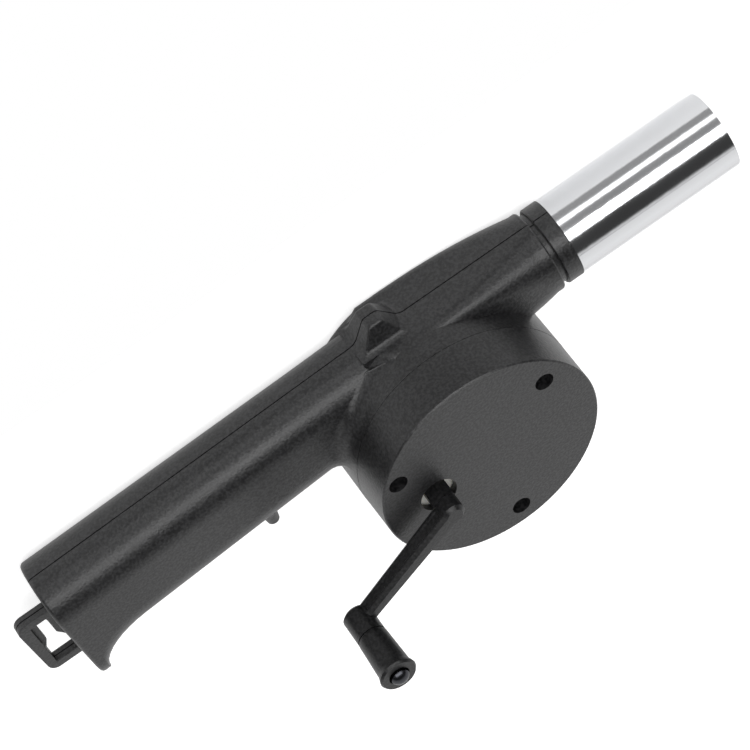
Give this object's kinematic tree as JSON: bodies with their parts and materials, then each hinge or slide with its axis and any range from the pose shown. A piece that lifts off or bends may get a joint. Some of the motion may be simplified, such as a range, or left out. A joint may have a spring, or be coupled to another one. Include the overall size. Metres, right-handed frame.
{
  "type": "hand crank fire blower",
  "caption": "Hand-held fire blower: hollow grip with a hang loop, round housing with a hand crank, gears and a fan, and a steel blast tube.",
  "frame": {"origin": "on the fan axis, in the face of the drum back that the blower lies on", "axes": "+X from the grip to the nozzle along the tube axis, +Y from the drum towards the barrel side, +Z from the rest face to the crank"},
  "size_m": [0.2495, 0.0799, 0.0793],
  "materials": {
    "body_plastic": "satin black moulded plastic",
    "crank_plastic": "semi-gloss black moulded plastic",
    "fan_plastic": "plain black moulded plastic",
    "gear_nylon": "natural white nylon",
    "tube_steel": "polished stainless tube",
    "screw_steel": "zinc-plated steel",
    "pin_steel": "polished steel",
    "bush_brass": "turned brass"
  },
  "bodies": {
    "housing": {"crank_side_housing": "body_plastic", "intake_side_housing": "body_plastic", "gear_cover": "body_plastic", "nozzle_tube": "tube_steel", "housing_screws": "screw_steel", "cover_screws": "screw_steel", "front_bush": "bush_brass", "rear_bush": "bush_brass", "idler_axle": "screw_steel"},
    "crank": {"crank_arm": "crank_plastic", "crank_gear": "gear_nylon", "crank_screw": "screw_steel", "crank_washer": "gear_nylon", "handle_pin": "pin_steel"},
    "handle": {"crank_handle": "crank_plastic"},
    "idler": {"idler_gear": "gear_nylon", "idler_washer": "screw_steel"},
    "fan": {"fan_pinion": "bush_brass", "fan_shaft": "screw_steel", "impeller": "fan_plastic", "impeller_push_nut": "screw_steel", "shaft_washer": "gear_nylon"}
  },
  "joints": [
    {"name": "crank_turn", "type": "hinge", "parent": "housing", "child": "crank", "pos_m": [-0.0186, 0, 0.0443], "axis": [0, 0, 1], "continuous": true},
    {"name": "handle_spin", "type": "hinge", "parent": "crank", "child": "handle", "pos_m": [-0.05765, -0.0205, 0.0609], "axis": [0, 0, 1], "continuous": true},
    {"name": "idler_spin", "type": "hinge", "parent": "housing", "child": "idler", "pos_m": [-0.00779, 0.01489, 0.0271], "axis": [0, 0, 1], "continuous": true},
    {"name": "fan_spin", "type": "hinge", "parent": "housing", "child": "fan", "pos_m": [0, 0, 0.0131], "axis": [0, 0, 1], "continuous": true}
  ],
  "couplings": [
    {"joint": "idler_spin", "follows": "crank_turn", "ratio": -2.8333},
    {"joint": "fan_spin", "follows": "crank_turn", "ratio": 7.0833}
  ]
}
